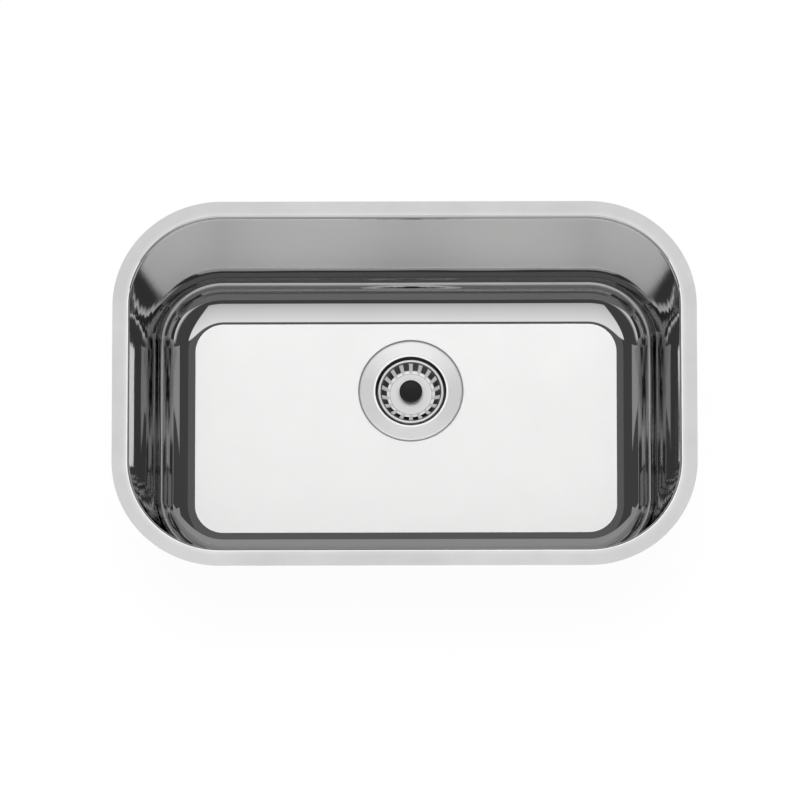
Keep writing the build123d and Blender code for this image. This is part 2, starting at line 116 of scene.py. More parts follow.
def pick(kind, test):
    """Select the vertices, edges or faces of the open mesh that pass a test."""
    bpy.ops.mesh.select_mode(type=kind)
    bpy.ops.mesh.select_all(action="DESELECT")
    mesh = bmesh.from_edit_mesh(bpy.context.edit_object.data)
    members = {"VERT": mesh.verts, "EDGE": mesh.edges, "FACE": mesh.faces}[kind]
    chosen = [member for member in members if test(member)]
    for member in chosen:
        member.select_set(True)
    mesh.select_flush_mode()
    bmesh.update_edit_mesh(bpy.context.edit_object.data)
    return len(chosen)


def level_at(member, level):
    """True where all of an edge or face lies at one level."""
    return all(abs(corner.co.z - level) < TINY for corner in member.verts)


# %% [markdown]
# ## The bowl's outline
# The bowl is drawn from one sheet, and all its outlines are one rounded rectangle, wider or narrower.
# So the flat bottom is drawn first, its four corners are bevelled round, and the open edge is extruded
# up the wall and out over the flange. Each corner only grows about its own middle, which keeps the walls
# even all round.

# %% Bowl: bottom, wall and flange
bowl_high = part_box("bowl")[1]
FLANGE_WIDTH = 17.5 * MM
MOUTH_CORNER = 92.5 * MM
BOWL_DEPTH = 180.0 * MM
WALL_DRAFT = radians(9.5)
CORNER_STEPS = 24
BOTTOM = -BOWL_DEPTH
corner_x = bowl_high.x - FLANGE_WIDTH - MOUTH_CORNER
corner_y = bowl_high.y - FLANGE_WIDTH - MOUTH_CORNER
foot_corner = MOUTH_CORNER - BOWL_DEPTH * tan(WALL_DRAFT)


def grow(rise, level, old_corner, new_corner):
    """Extrude the open edge upward and widen its four corners."""
    pick("EDGE", lambda edge: edge.is_boundary or edge.is_wire)
    bpy.ops.mesh.extrude_edges_move(TRANSFORM_OT_translate={"value": (0, 0, rise)})
    widen = new_corner / old_corner
    for side in (-1, 1):
        for end in (-1, 1):
            pick("VERT", lambda vert: vert.is_boundary
                 and side * vert.co.x > corner_x - TINY and end * vert.co.y > corner_y - TINY)
            bpy.ops.transform.resize(
                value=(widen, widen, 1), center_override=(side * corner_x, end * corner_y, level))


bowl = start("bowl_sheet")
bpy.ops.transform.resize(value=(2 * (corner_x + foot_corner), 2 * (corner_y + foot_corner), 1))
bpy.ops.transform.translate(value=(0, 0, BOTTOM))
bpy.ops.mesh.bevel(offset=foot_corner, segments=CORNER_STEPS, profile=ROUND, affect="VERTICES")
grow(BOWL_DEPTH, 0.0, foot_corner, MOUTH_CORNER)
grow(0.0, 0.0, MOUTH_CORNER, MOUTH_CORNER + FLANGE_WIDTH)
print("Bowl outline with", len(bmesh.from_edit_mesh(bowl.data).verts), "points")

# %% [markdown]
# ## The bowl's bends
# The wall meets the bottom in a wide bend and the flange in a tight one. A bevel with many segments
# gives both. Its width is the bend's radius times the tangent of half the turn.

# %% Bowl: wide bottom bend and tight mouth bend
BOTTOM_BEND, BOTTOM_STEPS = 39.0 * MM, 28
MOUTH_BEND, MOUTH_STEPS = 3.0 * MM, 8
STEEP = 0.5  # the normal of a wall rises less than this
turn_reach = tan((pi / 2 - WALL_DRAFT) / 2)

pick("EDGE", lambda edge: level_at(edge, BOTTOM))
bpy.ops.mesh.bevel(offset=BOTTOM_BEND * turn_reach, segments=BOTTOM_STEPS, profile=ROUND, affect="EDGES")
pick("EDGE", lambda edge: level_at(edge, 0.0)
     and any(abs(face.normal.z) < STEEP for face in edge.link_faces))
bpy.ops.mesh.bevel(offset=MOUTH_BEND * turn_reach, segments=MOUTH_STEPS, profile=ROUND, affect="EDGES")

# %% [markdown]
# ## Bent lines
# Pressed sheet and turned bar have rounded corners. A section is written as its sharp corners, each
# with the radius of its bend, and this helper puts the points of the arcs in.

# %% Arcs and bent lines
def bent(*corners, steps=8):
    """Points along a line of (radius, level, bend) corners."""
    line = []
    for number, (radius, level, bend) in enumerate(corners):
        here = Vector((radius, level))
        if not bend:
            line.append(here)
            continue
        before = (Vector(corners[number - 1][:2]) - here).normalized()
        after = (Vector(corners[(number + 1) % len(corners)][:2]) - here).normalized()
        half = before.angle(after) / 2
        middle = here + (before + after).normalized() * bend / sin(half)
        first, last = (here + arm * bend / tan(half) - middle for arm in (before, after))
        line += arc(middle, bend, atan2(first.y, first.x), first.angle_signed(last), steps)
    return line


def arc(middle, radius, begin, sweep, steps):
    """Points round a middle. A positive sweep runs clockwise, as signed angles do in Blender."""
    angles = [begin - sweep * step / steps for step in range(steps + 1)]
    return [Vector((middle[0] + radius * cos(angle), middle[1] + radius * sin(angle))) for angle in angles]


# %% [markdown]
# ## The drain recess
# The drain flange lies in a shallow round recess, so that water runs off the bottom. The flat face is
# cut out, a circle is set at the drain, and the space between the two edges is filled. Bridging them
# would twist, because the outline has its points in the corners. The circle is then extruded along the
# section of the recess, over its rounded edge, down, and in to the hole.

# %% Bowl: round recess with its hole
cup_low, cup_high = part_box("strainer_cup")
DRAIN = Vector(((cup_low.x + cup_high.x) / 2, (cup_low.y + cup_high.y) / 2, BOTTOM))
ROUND_STEPS = 144  # points of a large circle
KEPT_MARGIN = 2.0 * MM  # strip along the bend that stays when the flat face is cut out
RECESS_RADIUS, RECESS_DEPTH = 53.7, 3.2  # millimetres, as all sections are
RECESS_EDGE, RECESS_FOOT = 1.6, 0.6  # bends
HOLE_RADIUS = 42.0
ON_BOTTOM = 60.0  # the section comes in from here, but this point isn't used
recess_line = bent(
    (ON_BOTTOM, 0.0, 0), (RECESS_RADIUS, 0.0, RECESS_EDGE),
    (RECESS_RADIUS, -RECESS_DEPTH, RECESS_FOOT), (HOLE_RADIUS, -RECESS_DEPTH, 0))[1:]


def from_drain(place):
    """Distance of a place from the drain's axis, in millimetres."""
    return hypot(place.x - DRAIN.x, place.y - DRAIN.y) / MM


pick("FACE", lambda face: level_at(face, BOTTOM))
bpy.ops.mesh.inset(thickness=KEPT_MARGIN, depth=0)
bpy.ops.mesh.delete(type="ONLY_FACE")
bpy.ops.mesh.primitive_circle_add(
    vertices=ROUND_STEPS, radius=recess_line[0].x * MM, fill_type="NOTHING", location=DRAIN)
pick("EDGE", lambda edge: level_at(edge, BOTTOM) and (edge.is_boundary or edge.is_wire))
bpy.ops.mesh.fill(use_beauty=True)
pick("EDGE", lambda edge: edge.is_boundary and from_drain(edge.verts[0].co) < recess_line[0].x + 1)
for here, there in zip(recess_line, recess_line[1:]):
    bpy.ops.mesh.extrude_edges_move(TRANSFORM_OT_translate={"value": (0, 0, (there.y - here.y) * MM)})
    narrow = there.x / here.x
    bpy.ops.transform.resize(value=(narrow, narrow, 1), center_override=DRAIN + Vector((0, 0, there.y * MM)))
print("Drain at", [round(value, 4) for value in DRAIN], "with", len(recess_line), "rings in its recess")

# %% [markdown]
# ## The sheet's thickness
# So far the bowl has no thickness. Its faces are turned to the inside of the bowl and sorted by finish:
# the satin flange, a thin painted highlight along the mouth, the polished wall, the satin bottom, and
# painted shade in the gap round the drain. Solidify then adds one sheet behind, and a fine bevel takes the
# sharpness off the cut edges. Smooth shading with weighted normals keeps the flat parts flat in the
# reflections.

# %% Bowl: zones, thickness and shading
ZONE_FLANGE, ZONE_MOUTH_HIGHLIGHT, ZONE_WALL, ZONE_BOTTOM, ZONE_GAP, ZONE_UNDER = range(6)
SHEET = 1.0 * MM
GAP_DEPTH = 0.5 * MM  # where the painted shade in the gap round the drain begins
MOUTH_HIGHLIGHT_DEPTH = MOUTH_BEND * (1 - cos(radians(20)))  # depth that the painted highlight line at the mouth reaches down
FACES_FRONT = -0.05  # the bend over the back wall has normals below this, and stays polished
CUT_WIDTH, CUT_ANGLE = 0.2 * MM, radians(60)  # bevel of the cut edges, and the turn that tells them
SMOOTH_ANGLE = radians(35)  # edges that turn more stay sharp
FLAT_WEIGHT = 80  # pull of the large faces on the normals


def face_up():
    """Turn the faces of an open sheet so that the show side is outside."""
    bpy.ops.mesh.select_mode(type="FACE")
    bpy.ops.mesh.select_all(action="SELECT")
    bpy.ops.mesh.normals_make_consistent(inside=False)
    mesh = bmesh.from_edit_mesh(bpy.context.edit_object.data)
    if sum(face.normal.z * face.calc_area() for face in mesh.faces) < 0:
        bpy.ops.mesh.flip_normals()


def sort_faces(piece, zone_of, count):
    """Give each face of the open sheet its zone, then leave edit mode with a slot for each zone."""
    mesh = bmesh.from_edit_mesh(piece.data)
    for face in mesh.faces:
        face.material_index = zone_of(face)
    bmesh.update_edit_mesh(piece.data)
    bpy.ops.object.mode_set(mode="OBJECT")
    for zone in range(count):
        piece.data.materials.append(None)


def apply(kind, **settings):
    """Add a modifier to the active piece and apply it."""
    modifier = bpy.context.active_object.modifiers.new(kind, kind)
    for name, value in settings.items():
        setattr(modifier, name, value)
    bpy.ops.object.modifier_apply(modifier=modifier.name)


def thicken(sheet, edge, **settings):
    """Add the sheet's thickness behind the show side and bevel its cut edges."""
    apply("SOLIDIFY", thickness=sheet, offset=-1.0, use_even_offset=True, **settings)
    apply("BEVEL", width=edge, segments=2, limit_method="ANGLE", angle_limit=CUT_ANGLE)


def shade():
    """Smooth shading that stays crisp at sharp edges and flat on large faces."""
    bpy.ops.object.shade_smooth_by_angle(angle=SMOOTH_ANGLE)
    apply("WEIGHTED_NORMAL", keep_sharp=True, weight=FLAT_WEIGHT)


def bowl_zone(face):
    """The finish that a face of the bowl has."""
    middle = face.calc_center_median()
    if middle.z > -TINY:
        return ZONE_FLANGE
    # painted highlight: a near-white line along the mouth bend, except over the back wall
    if middle.z > -MOUTH_HIGHLIGHT_DEPTH and face.normal.y > FACES_FRONT:
        return ZONE_MOUTH_HIGHLIGHT
    # painted shade: a dark grey in the gap round the drain
    if middle.z < BOTTOM - GAP_DEPTH:
        return ZONE_GAP
    in_recess = middle.z < BOTTOM - TINY
    return ZONE_BOTTOM if in_recess or level_at(face, BOTTOM) else ZONE_WALL


face_up()
sort_faces(bowl, bowl_zone, ZONE_UNDER + 1)
thicken(SHEET, CUT_WIDTH, material_offset=ZONE_UNDER)
shade()
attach(bowl, "sink")
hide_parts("bowl")
print("Bowl sheet:", len(bowl.data.polygons), "faces")

# %% [markdown]
# ## Round pieces
# The strainer is a family of round pieces on one axis. Each is drawn as a line of points, radius and
# level in millimetres from the bowl's bottom, and spun about the drain.

# %% Spinning
def spun(name, line, steps=ROUND_STEPS, closed=False):
    """Draw a line beside the drain's axis and spin it right round."""
    piece = start(name)
    bpy.ops.mesh.merge(type="CENTER")
    places = [DRAIN + Vector((radius, 0, level)) * MM for radius, level in line]
    bpy.ops.transform.translate(value=places[0])
    for here, there in zip(places, places[1:]):
        bpy.ops.mesh.extrude_vertices_move(TRANSFORM_OT_translate={"value": there - here})
    if closed:
        pick("VERT", lambda vert: min((vert.co - places[end]).length for end in (0, -1)) < SAME_PLACE)
        bpy.ops.mesh.edge_face_add()
    bpy.ops.mesh.select_all(action="SELECT")
    bpy.ops.mesh.spin(steps=steps, angle=2 * pi, center=DRAIN, axis=(0, 0, 1))
    bpy.ops.mesh.select_all(action="SELECT")
    bpy.ops.mesh.remove_doubles(threshold=SAME_PLACE)
    bpy.ops.mesh.normals_make_consistent(inside=False)
    return piece


def settle(piece, body, solid):
    """Leave edit mode, shade the piece, tie it to its body and hide its solid."""
    if bpy.context.object.mode == "EDIT":
        bpy.ops.object.mode_set(mode="OBJECT")
    shade()
    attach(piece, body)
    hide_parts(solid)
    print(piece.name, "has", len(piece.data.polygons), "faces")


# %% [markdown]
# ## The strainer cup
# The drain flange and the cup below it are one pressed sheet. Its show side runs from the turned-down
# edge in the recess, over the slightly dished flange and the rounded mouth, down to the outlet. The flange
# is turned, its mouth has a painted highlight, and the inside is painted dark as painted shade, so the faces
# are told apart.

# %% Strainer cup
CUP_FLANGE, CUP_MOUTH_HIGHLIGHT, CUP_INSIDE, CUP_UNDER = range(4)
FLANGE_FROM, MOUTH_FROM = 38.8, 36.62  # radii where the flange and the painted highlight of its mouth begin
CUP_SHEET = 1.2 * MM


def cup_zone(face):
    """The finish that a face of the cup has."""
    reach = from_drain(face.calc_center_median())
    # the mouth has a painted highlight, and the inside painted shade
    return CUP_FLANGE if reach > FLANGE_FROM else CUP_MOUTH_HIGHLIGHT if reach > MOUTH_FROM else CUP_INSIDE


cup = spun("strainer_cup_sheet", bent(
    (53.0, -2.9, 0), (53.0, -0.5, 1.8), (39.2, -1.7, 0.3), (38.6, -1.1, 0.3), (36.6, -1.1, 0.4),
    (36.6, -30.0, 4.0), (17.5, -30.0, 0)))
face_up()
sort_faces(cup, cup_zone, CUP_UNDER + 1)
thicken(CUP_SHEET, CUT_WIDTH, material_offset=CUP_UNDER)
settle(cup, "sink", "strainer_cup")

# %% [markdown]
# ## The lift-out basket
# The basket is a thin pressed dish whose rim is rolled outward. It is spun in steps of one degree, so
# that the slots can be opened by deleting faces: twelve degrees open, eight degrees left as a bar. Its
# faces are sorted by finish as well: a painted highlight on the lip at the foot of each slot, the satin rim
# with its tone painted lighter as a highlight, painted shade in the crease behind it, and a thin grey line of
# painted shade round the floor.

# %% Basket
BASKET_WALL, BASKET_LIP_HIGHLIGHT, BASKET_RIM, BASKET_CREASE, BASKET_LINE = range(5)
BASKET_SHEET, BASKET_CUT = 0.8 * MM, 0.15 * MM
POST_HOLE = 4.15  # radius of the hole for the post
SLOT_COUNT = 18
SLOT_OPEN = 12.0  # degrees of each pitch
SLOT_FOOT, SLOT_HEAD = -13.2, -5.25
LIP_WIDTH = 0.1  # that the painted highlight on the lip reaches past the slot's foot
LINE_INSIDE, LINE_OUTSIDE = 21.5, 22.0  # radii of the painted shade line round the floor
BEAD_MIDDLE, BEAD_RADIUS = (32.45, -4.35), 1.35
BEAD_TURN, BEAD_STEPS = radians(290), 28
FLOOR_LEVEL, FLOOR_BEND = -15.0, 3.0
WALL_FOOT = Vector((22.9, FLOOR_LEVEL))

to_bead = Vector(BEAD_MIDDLE) - WALL_FOOT
wall_slope = atan2(to_bead.y, to_bead.x) + atan2(BEAD_RADIUS, sqrt(to_bead.length_squared - BEAD_RADIUS**2))
curl = arc(BEAD_MIDDLE, BEAD_RADIUS, wall_slope + pi / 2, BEAD_TURN, BEAD_STEPS)


def wall_at(level):
    """Radius of the basket's wall at a level."""
    return WALL_FOOT.x + (level - WALL_FOOT.y) / tan(wall_slope)


def at_slot(place):
    """True within the angles of a slot."""
    pitch = 2 * pi / SLOT_COUNT
    angle = atan2(place.y - DRAIN.y, place.x - DRAIN.x)
    return abs((angle + pitch / 2) % pitch - pitch / 2) < radians(SLOT_OPEN / 2)


def in_slot(face):
    """True for the faces of the wall that the slots take away."""
    middle = face.calc_center_median()
    in_wall = SLOT_FOOT < (middle.z - DRAIN.z) / MM < SLOT_HEAD and from_drain(middle) < wall_at(SLOT_HEAD)
    return in_wall and at_slot(middle)


def basket_zone(face):
    """The finish that a face of the basket has."""
    middle = face.calc_center_median()
    reach = from_drain(middle)
    # painted highlight on the lip at the foot of each slot
    if LINE_OUTSIDE < reach < wall_at(SLOT_FOOT) + LIP_WIDTH and at_slot(middle):
        return BASKET_LIP_HIGHLIGHT
    # the rolled rim: satin, with its tone painted lighter than the wall as a painted highlight
    if reach > BEAD_MIDDLE[0] - BEAD_RADIUS:
        return BASKET_RIM
    # painted shade in the crease behind the rim
    if reach > wall_at(SLOT_HEAD):
        return BASKET_CREASE
    # a thin grey ring of painted shade round the floor
    return BASKET_LINE if LINE_INSIDE < reach < LINE_OUTSIDE else BASKET_WALL


dish = bent((POST_HOLE, FLOOR_LEVEL, 0), (*WALL_FOOT, FLOOR_BEND), (wall_at(SLOT_FOOT), SLOT_FOOT, 0))
basket = spun("basket_sheet", dish + [Vector((wall_at(SLOT_HEAD), SLOT_HEAD))] + curl, steps=360)
face_up()
slot_faces = pick("FACE", in_slot)
bpy.ops.mesh.delete(type="FACE")
sort_faces(basket, basket_zone, BASKET_LINE + 1)
thicken(BASKET_SHEET, BASKET_CUT)
settle(basket, "basket", "basket")
print("Slots opened by deleting", slot_faces, "faces")

# %% [markdown]
# ## The knob
# The black knob lifts the basket. It has a wide head with a shallow dish, a rounded rim and a waisted
# stem. It is a moulding, so its line is closed and spun as a solid.

# %% Knob
KNOB_TOP = -1.5
DISH_REACH, DISH_DEPTH = 9.6, 0.9
dish_radius = (DISH_REACH**2 + DISH_DEPTH**2) / (2 * DISH_DEPTH)
dish_middle = (0.0, KNOB_TOP - DISH_DEPTH + dish_radius)
knob_dish = arc(dish_middle, dish_radius, -pi / 2, -2 * atan2(DISH_DEPTH, DISH_REACH), 12)
knob_side = bent(
    (9.7, KNOB_TOP, 0), (11.8, KNOB_TOP, 1.0), (11.8, -6.1, 1.0), (6.6, -7.1, 1.5), (7.5, FLOOR_LEVEL, 0),
    (POST_HOLE, FLOOR_LEVEL, 0), (POST_HOLE, -6.5, 0), (0.0, -6.5, 0))
knob = spun("knob_moulding", knob_dish + knob_side, steps=96)
settle(knob, "basket", "knob")

# %% [markdown]
# ## Threads
# The cup and the neck carry threads for their nuts, and a turn or two shows beside each nut. A thread is
# one small ridge wound round the axis: a square is set upright, its outer side narrowed to the crest, and
# the Screw modifier winds it. Its two ends are then closed. The cup's thread stays a piece of its own.

# %% Winding a thread
THREAD_PITCH = 1.8
THREAD_HEIGHT = 0.35
THREAD_ROOT = 0.15  # depth that the ridge is sunk into its piece
RIDGE_SHARE, CREST_SHARE = 0.8, 0.3  # width of the ridge in the pitch, and of its crest in the ridge


def thread(name, radius, top, bottom):
    """A closed ridge wound round the drain's axis between two levels."""
    ridge = start(name)
    bpy.ops.transform.rotate(value=pi / 2, orient_axis="X", center_override=(0, 0, 0))
    deep = THREAD_HEIGHT + THREAD_ROOT
    bpy.ops.transform.resize(value=(deep * MM, 1, RIDGE_SHARE * THREAD_PITCH * MM))
    bpy.ops.transform.translate(value=((radius - THREAD_ROOT + deep / 2) * MM, 0, 0))
    pick("VERT", lambda vert: vert.co.x > radius * MM)
    bpy.ops.transform.resize(value=(1, 1, CREST_SHARE))
    bpy.ops.mesh.select_all(action="SELECT")
    bpy.ops.mesh.delete(type="ONLY_FACE")
    bpy.ops.object.mode_set(mode="OBJECT")
    turns = int((top - bottom) / THREAD_PITCH)
    apply("SCREW", axis="Z", steps=96, render_steps=96, iterations=turns, screw_offset=-THREAD_PITCH * MM)
    bpy.ops.object.mode_set(mode="EDIT")
    middle = -turns * THREAD_PITCH * MM / 2
    for side in (-1, 1):
        pick("EDGE", lambda edge: edge.is_boundary and side * (edge.verts[0].co.z - middle) > 0)
        bpy.ops.mesh.edge_face_add()
    bpy.ops.mesh.select_all(action="SELECT")
    bpy.ops.mesh.normals_make_consistent(inside=False)
    bpy.ops.transform.translate(value=DRAIN + Vector((0, 0, top * MM)))
    bpy.ops.object.mode_set(mode="OBJECT")
    return ridge


def join_to(piece, extra):
    """Make a second mesh part of a piece."""
    bpy.ops.object.select_all(action="DESELECT")
    extra.select_set(True)
    piece.select_set(True)
    bpy.context.view_layer.objects.active = piece
    bpy.ops.object.join()


cup_thread = thread("cup_thread", radius=37.8, top=-10.0, bottom=-26.5)
shade()
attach(cup_thread, "sink")
print("Thread of the cup:", len(cup_thread.data.polygons), "faces")

# %% [markdown]
# ## Neck, tailpiece and the rings between
# Below the bowl hang a gasket, a slip ring, the neck with its washer, and the tube to the trap. All are
# turned or moulded, so each is a closed section with small bends at its corners, spun about the drain.
# Sharp corners would look cut from paper: a bend of a few tenths already catches a line of light.

# %% Pieces of the outlet
TURNED_OUTLET = {
    "bowl_gasket": ("seal_rubber", (
        (38.3, -4.2, 0.3), (52.5, -4.2, 0.7), (52.5, -7.2, 0.7), (38.3, -7.2, 0.3))),
    "friction_washer": ("fibre", (
        (38.3, -7.2, 0.2), (51.5, -7.2, 0.3), (51.5, -8.4, 0.3), (38.3, -8.4, 0.2))),
    "outlet_neck": ("drain_steel", (
        (19.6, -31.2, 0.2), (28.9, -31.2, 0.4), (28.9, -33.2, 0.7), (23.9, -33.2, 1.0),
        (23.9, -58.2, 0.8), (17.8, -58.2, 0.3), (17.8, -47.7, 0.2), (19.6, -47.7, 0.2))),
    "tail_washer": ("seal_plastic", (
        (18.65, -58.2, 0.3), (22.85, -58.2, 0.3), (22.85, -60.2, 0.3), (18.65, -60.2, 0.3))),
    "tailpiece": ("tail_chrome", (
        (17.85, -60.2, 0.4), (22.85, -60.2, 0.4), (22.85, -61.7, 0.5), (19.05, -61.7, 0.8),
        (19.05, -136.2, 0.5), (17.85, -136.2, 0.4))),
}
shown = {}
for solid, (slot, section) in TURNED_OUTLET.items():
    shown[solid] = spun(solid + "_turned", bent(*section, steps=5), closed=True)
    if solid == "outlet_neck":
        bpy.ops.object.mode_set(mode="OBJECT")
        join_to(shown[solid], thread("neck_thread", radius=23.9, top=-35.0, bottom=-57.0))
    settle(shown[solid], "sink", solid)

# %% [markdown]
# ## The plug under the basket
# The post carries a spacer, the rubber stopper, its washer and the grip ring, and all of them lift with
# the basket. They are turned in the same way. The post is closed at its ends on the axis, and the grip
# ring's section is a circle.

# %% Pieces on the post
PLUG_PIECES = {
    "post": ("tail_chrome", bent(
        (0.0, -6.5, 0), (4.0, -6.5, 0.4), (4.0, -55.7, 0.2), (2.4, -55.7, 0.2), (2.4, -58.5, 0.2),
        (4.0, -58.5, 0.2), (4.0, -59.7, 0.4), (3.2, -60.5, 0.4), (0.0, -60.5, 0), steps=5)),
    "spacer": ("seal_plastic", bent(
        (POST_HOLE, -15.8, 0.2), (7.0, -15.8, 0.5), (7.0, -24.0, 0.5), (POST_HOLE, -24.0, 0.2), steps=5)),
    "stopper": ("seal_rubber", bent(
        (POST_HOLE, -24.0, 0.2), (19.0, -24.0, 0.8), (23.0, -27.5, 0.8), (23.0, -30.0, 0.8),
        (13.5, -30.0, 0.6), (13.5, -32.0, 0.6), (POST_HOLE, -32.0, 0.2), steps=5)),
    "stopper_washer": ("drain_steel", bent(
        (POST_HOLE, -32.0, 0.2), (8.5, -32.0, 0.3), (8.5, -33.2, 0.3), (POST_HOLE, -33.2, 0.2), steps=4)),
    "post_o_ring": ("seal_rubber", arc((3.8, -57.1), 1.2, 0.0, 2 * pi, 24)[:-1]),
}
for solid, (slot, section) in PLUG_PIECES.items():
    shown[solid] = spun(solid + "_turned", section, steps=72, closed=solid != "post")
    settle(shown[solid], "basket", solid)

# %% [markdown]
# ## Nuts and the guide
# The lugged lock nut, the ribbed coupling nut, the guide for the post and the small hexagon nut are cast
# or pressed. Their solids already have every lug and rib, so a copy of each is merged, its flat faces
# are joined up, and a bevel rounds the sharp edges.

# %% Cast and pressed pieces
CAST_PIECES = {  # body, slot, and width of the rounded edges in millimetres
    "lock_nut": ("sink", "nut_metal", 0.6), "coupling_nut": ("sink", "nut_metal", 0.4),
    "spider": ("sink", "drain_steel", 0.35), "stopper_nut": ("basket", "nut_brass", 0.4),
}
FLAT_ANGLE, CAST_ANGLE = radians(1), radians(40)  # turns up to which faces join, and from which edges round
for solid, (body, slot, edge) in CAST_PIECES.items():
    bpy.ops.object.select_all(action="DESELECT")
    piece = bpy.data.objects.new(solid + "_cast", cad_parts[solid].data.copy())
    bpy.context.collection.objects.link(piece)
    piece.data.name = piece.name
    piece.data.materials.clear()
    piece.select_set(True)
    bpy.context.view_layer.objects.active = piece
    bpy.ops.object.mode_set(mode="EDIT")
    bpy.ops.mesh.select_all(action="SELECT")
    bpy.ops.mesh.remove_doubles(threshold=SAME_PLACE)
    bpy.ops.mesh.dissolve_limited(angle_limit=FLAT_ANGLE)
    bpy.ops.object.mode_set(mode="OBJECT")
    apply("BEVEL", width=edge * MM, segments=3, limit_method="ANGLE", angle_limit=CAST_ANGLE)
    settle(piece, body, solid)
    shown[solid] = piece

# %% [markdown]
# ## Damping pads
# Two thick rubber sheets are stuck under the bottom and take the drumming out of it. Each is a plane with
# rounded corners, extruded down by its thickness, with its lower edge bevelled round.

# %% Damping pads
PAD_CORNER, PAD_CORNER_STEPS = 12.0 * MM, 10
PAD_EDGE, PAD_EDGE_STEPS = 0.8 * MM, 4
for side in ("left", "right"):
    solid = f"sound_pad_{side}"
    low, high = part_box(solid)
    pad = start(solid + "_sheet")
    bpy.ops.transform.resize(value=(high.x - low.x, high.y - low.y, 1))
    bpy.ops.transform.translate(value=((low.x + high.x) / 2, (low.y + high.y) / 2, high.z))
    bpy.ops.mesh.bevel(offset=PAD_CORNER, segments=PAD_CORNER_STEPS, affect="VERTICES")
    pick("FACE", lambda face: True)
    bpy.ops.mesh.extrude_region_move(TRANSFORM_OT_translate={"value": (0, 0, low.z - high.z)})
    pick("EDGE", lambda edge: level_at(edge, low.z))
    bpy.ops.mesh.bevel(offset=PAD_EDGE, segments=PAD_EDGE_STEPS, affect="EDGES")
    bpy.ops.mesh.select_all(action="SELECT")
    bpy.ops.mesh.normals_make_consistent(inside=False)
    settle(pad, "sink", solid)
    shown[solid] = pad

# %% [markdown]
# ## Nodes, one at a time
# The finishes and the studio are worked out with shader nodes. A few small helpers make them: any node, a
# step of arithmetic, a value that follows another, and a change of one input where a mask says so. A node
# made from a socket lands in the same tree, to the right of its source.

# %% Node helpers
NODE_STEP = Vector((200, 0))  # from a node to the one that follows it


def node(tree, kind, place, **values):
    """A shader node with its settings and the values of its sockets."""
    made = tree.nodes.new(kind)
    made.location = place
    for name, value in values.items():
        if name in made.inputs:
            made.inputs[name].default_value = value
        else:
            setattr(made, name, value)
    return made


def beside(source, kind, **values):
    """A node in the tree of a socket, to the right of it."""
    return node(source.id_data, kind, source.node.location + NODE_STEP, **values)


def calc(operation, first, second):
    """A Math node on a socket and a second socket or number."""
    made = beside(first, "ShaderNodeMath", operation=operation)
    first.id_data.links.new(first, made.inputs[0])
    if isinstance(second, bpy.types.NodeSocket):
        first.id_data.links.new(second, made.inputs[1])
    else:
        made.inputs[1].default_value = second
    return made.outputs[0]


def ranged(source, begin, end, low=0.0, high=1.0, kind="SMOOTHSTEP"):
    """A value that runs from low to high while its source runs from begin to end."""
    made = beside(source, "ShaderNodeMapRange", interpolation_type=kind)
    for name, number in (("From Min", begin), ("From Max", end), ("To Min", low), ("To Max", high)):
        made.inputs[name].default_value = number
    source.id_data.links.new(source, made.inputs["Value"])
    return made.outputs["Result"]


def blend_to(material, name, mask, value):
    """Lead an input of a material's shader over to a value where a mask is one."""
    links = material.node_tree.links
    socket = material.node_tree.nodes["Principled BSDF"].inputs[name]
    mix = beside(mask, "ShaderNodeMix", data_type="RGBA" if socket.type == "RGBA" else "FLOAT")
    first, second = [plug for plug in mix.inputs if plug.enabled and plug.name in "AB"]
    if socket.is_linked:
        links.new(socket.links[0].from_socket, first)
    else:
        first.default_value = socket.default_value
    second.default_value = value
    links.new(mask, mix.inputs["Factor"])
    links.new([plug for plug in mix.outputs if plug.enabled][0], socket)


# %% [markdown]
# ## Grain that several metals share
# Rolled and polished sheet is never one even tone. A shader group gives two patterns on Object
# coordinates: a fine grain from the finishing belt or blasting, and a slow mottle from handling. Each
# metal takes the grain with its own scale, and can stretch it into lines.

# %% Grain group
GRAIN_SCALE, MOTTLE_SCALE = 900.0, 14.0  # per metre
grain = bpy.data.node_groups.new("sheet_grain", "ShaderNodeTree")
for name, kind, value in (("Grain Scale", "Float", GRAIN_SCALE), ("Mottle Scale", "Float", MOTTLE_SCALE),
                          ("Stretch", "Vector", (1.0, 1.0, 1.0))):
    socket = grain.interface.new_socket(name, in_out="INPUT", socket_type="NodeSocket" + kind)
    socket.default_value = value
for name in ("Grain", "Mottle"):
    grain.interface.new_socket(name, in_out="OUTPUT", socket_type="NodeSocketFloat")
group_in = node(grain, "NodeGroupInput", (-600, 0))
group_out = node(grain, "NodeGroupOutput", (200, 0))
where = node(grain, "ShaderNodeTexCoord", (-800, -200))
stretched = node(grain, "ShaderNodeVectorMath", (-600, -200), operation="MULTIPLY")
grain.links.new(where.outputs["Object"], stretched.inputs[0])
grain.links.new(group_in.outputs["Stretch"], stretched.inputs[1])
fine = node(grain, "ShaderNodeTexNoise", (-300, 150), Detail=3.0, Roughness=0.6)
slow = node(grain, "ShaderNodeTexNoise", (-300, -150), Detail=4.0, Roughness=0.55)
for noise, place, scale, out in ((fine, stretched.outputs["Vector"], "Grain Scale", "Grain"),
                                 (slow, where.outputs["Object"], "Mottle Scale", "Mottle")):
    grain.links.new(place, noise.inputs["Vector"])
    grain.links.new(group_in.outputs[scale], noise.inputs["Scale"])
    grain.links.new(noise.outputs["Fac"], group_out.inputs[out])
print("Grain group has", len(grain.nodes), "nodes")

# %% [markdown]
# ## One recipe for the metals
# A metal here is a Principled shader whose colour and roughness wander between two values with the
# mottle, while the grain lifts the surface by a few microns. Drawn and turned metal also shows fine lines:
# there the grain is stretched one way and mixed into the tone. The recipe is one function, and each finish
# is a row of numbers.

